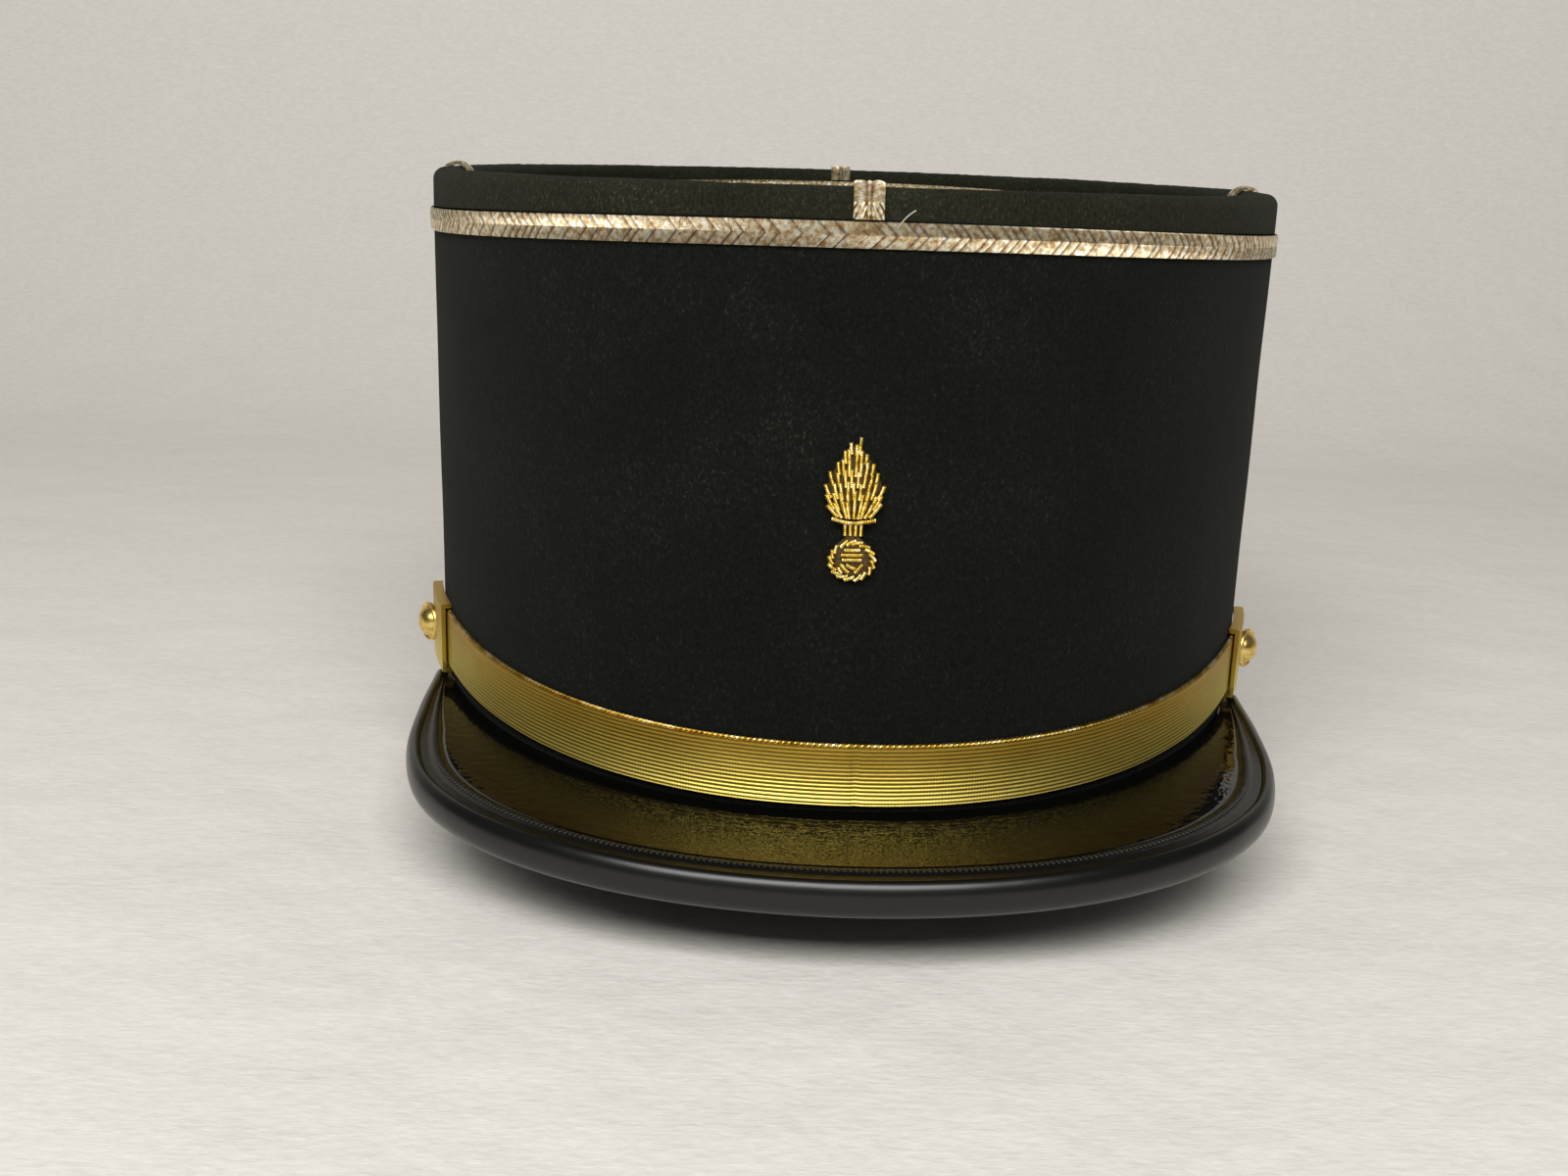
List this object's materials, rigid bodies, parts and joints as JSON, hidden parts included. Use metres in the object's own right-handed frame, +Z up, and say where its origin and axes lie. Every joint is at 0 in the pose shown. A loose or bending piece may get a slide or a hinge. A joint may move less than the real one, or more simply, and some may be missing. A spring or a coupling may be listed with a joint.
{
  "type": "kepi cap",
  "caption": "Tall round felt cap with a flat sunken top, a patent leather visor with a beaded edge, metal braid, a gold lace chin strap and a flaming grenade badge.",
  "frame": {"origin": "middle of the cap's bounding box at the level of the table it stands on", "axes": "+Z up; -Y towards the visor, the front; +X towards the wearer's left"},
  "size_m": [0.1668, 0.2258, 0.1219],
  "materials": {
    "wall_felt": "near-black wool felt",
    "top_felt": "near-black wool felt",
    "rim_felt": "near-black wool felt",
    "band_braid": "metallic braid",
    "inner_braid": "metallic braid",
    "braid_tab_front": "metallic braid",
    "braid_tab_left": "metallic braid",
    "braid_tab_back": "metallic braid",
    "braid_tab_right": "metallic braid",
    "patent_leather": "black patent leather, mirror gloss",
    "patent_edge": "black patent leather, glossy",
    "gold_lace": "ribbed gold lace",
    "strap_keeper_left": "plain gold lace",
    "strap_keeper_right": "plain gold lace",
    "button_left": "polished gilt",
    "button_right": "polished gilt",
    "gold_bullion": "bullion embroidery"
  },
  "bodies": {
    "root": {"crown_wall": "wall_felt", "crown_top": "top_felt", "top_rim": "rim_felt", "braid_band": "band_braid", "inner_braid": "inner_braid", "braid_tab_front": "braid_tab_front", "braid_tab_left": "braid_tab_left", "braid_tab_back": "braid_tab_back", "braid_tab_right": "braid_tab_right", "visor": "patent_leather", "visor_edge": "patent_edge", "chin_strap": "gold_lace", "strap_keeper_left": "strap_keeper_left", "strap_keeper_right": "strap_keeper_right", "button_left": "button_left", "button_right": "button_right", "badge": "gold_bullion"}
  },
  "joints": []
}
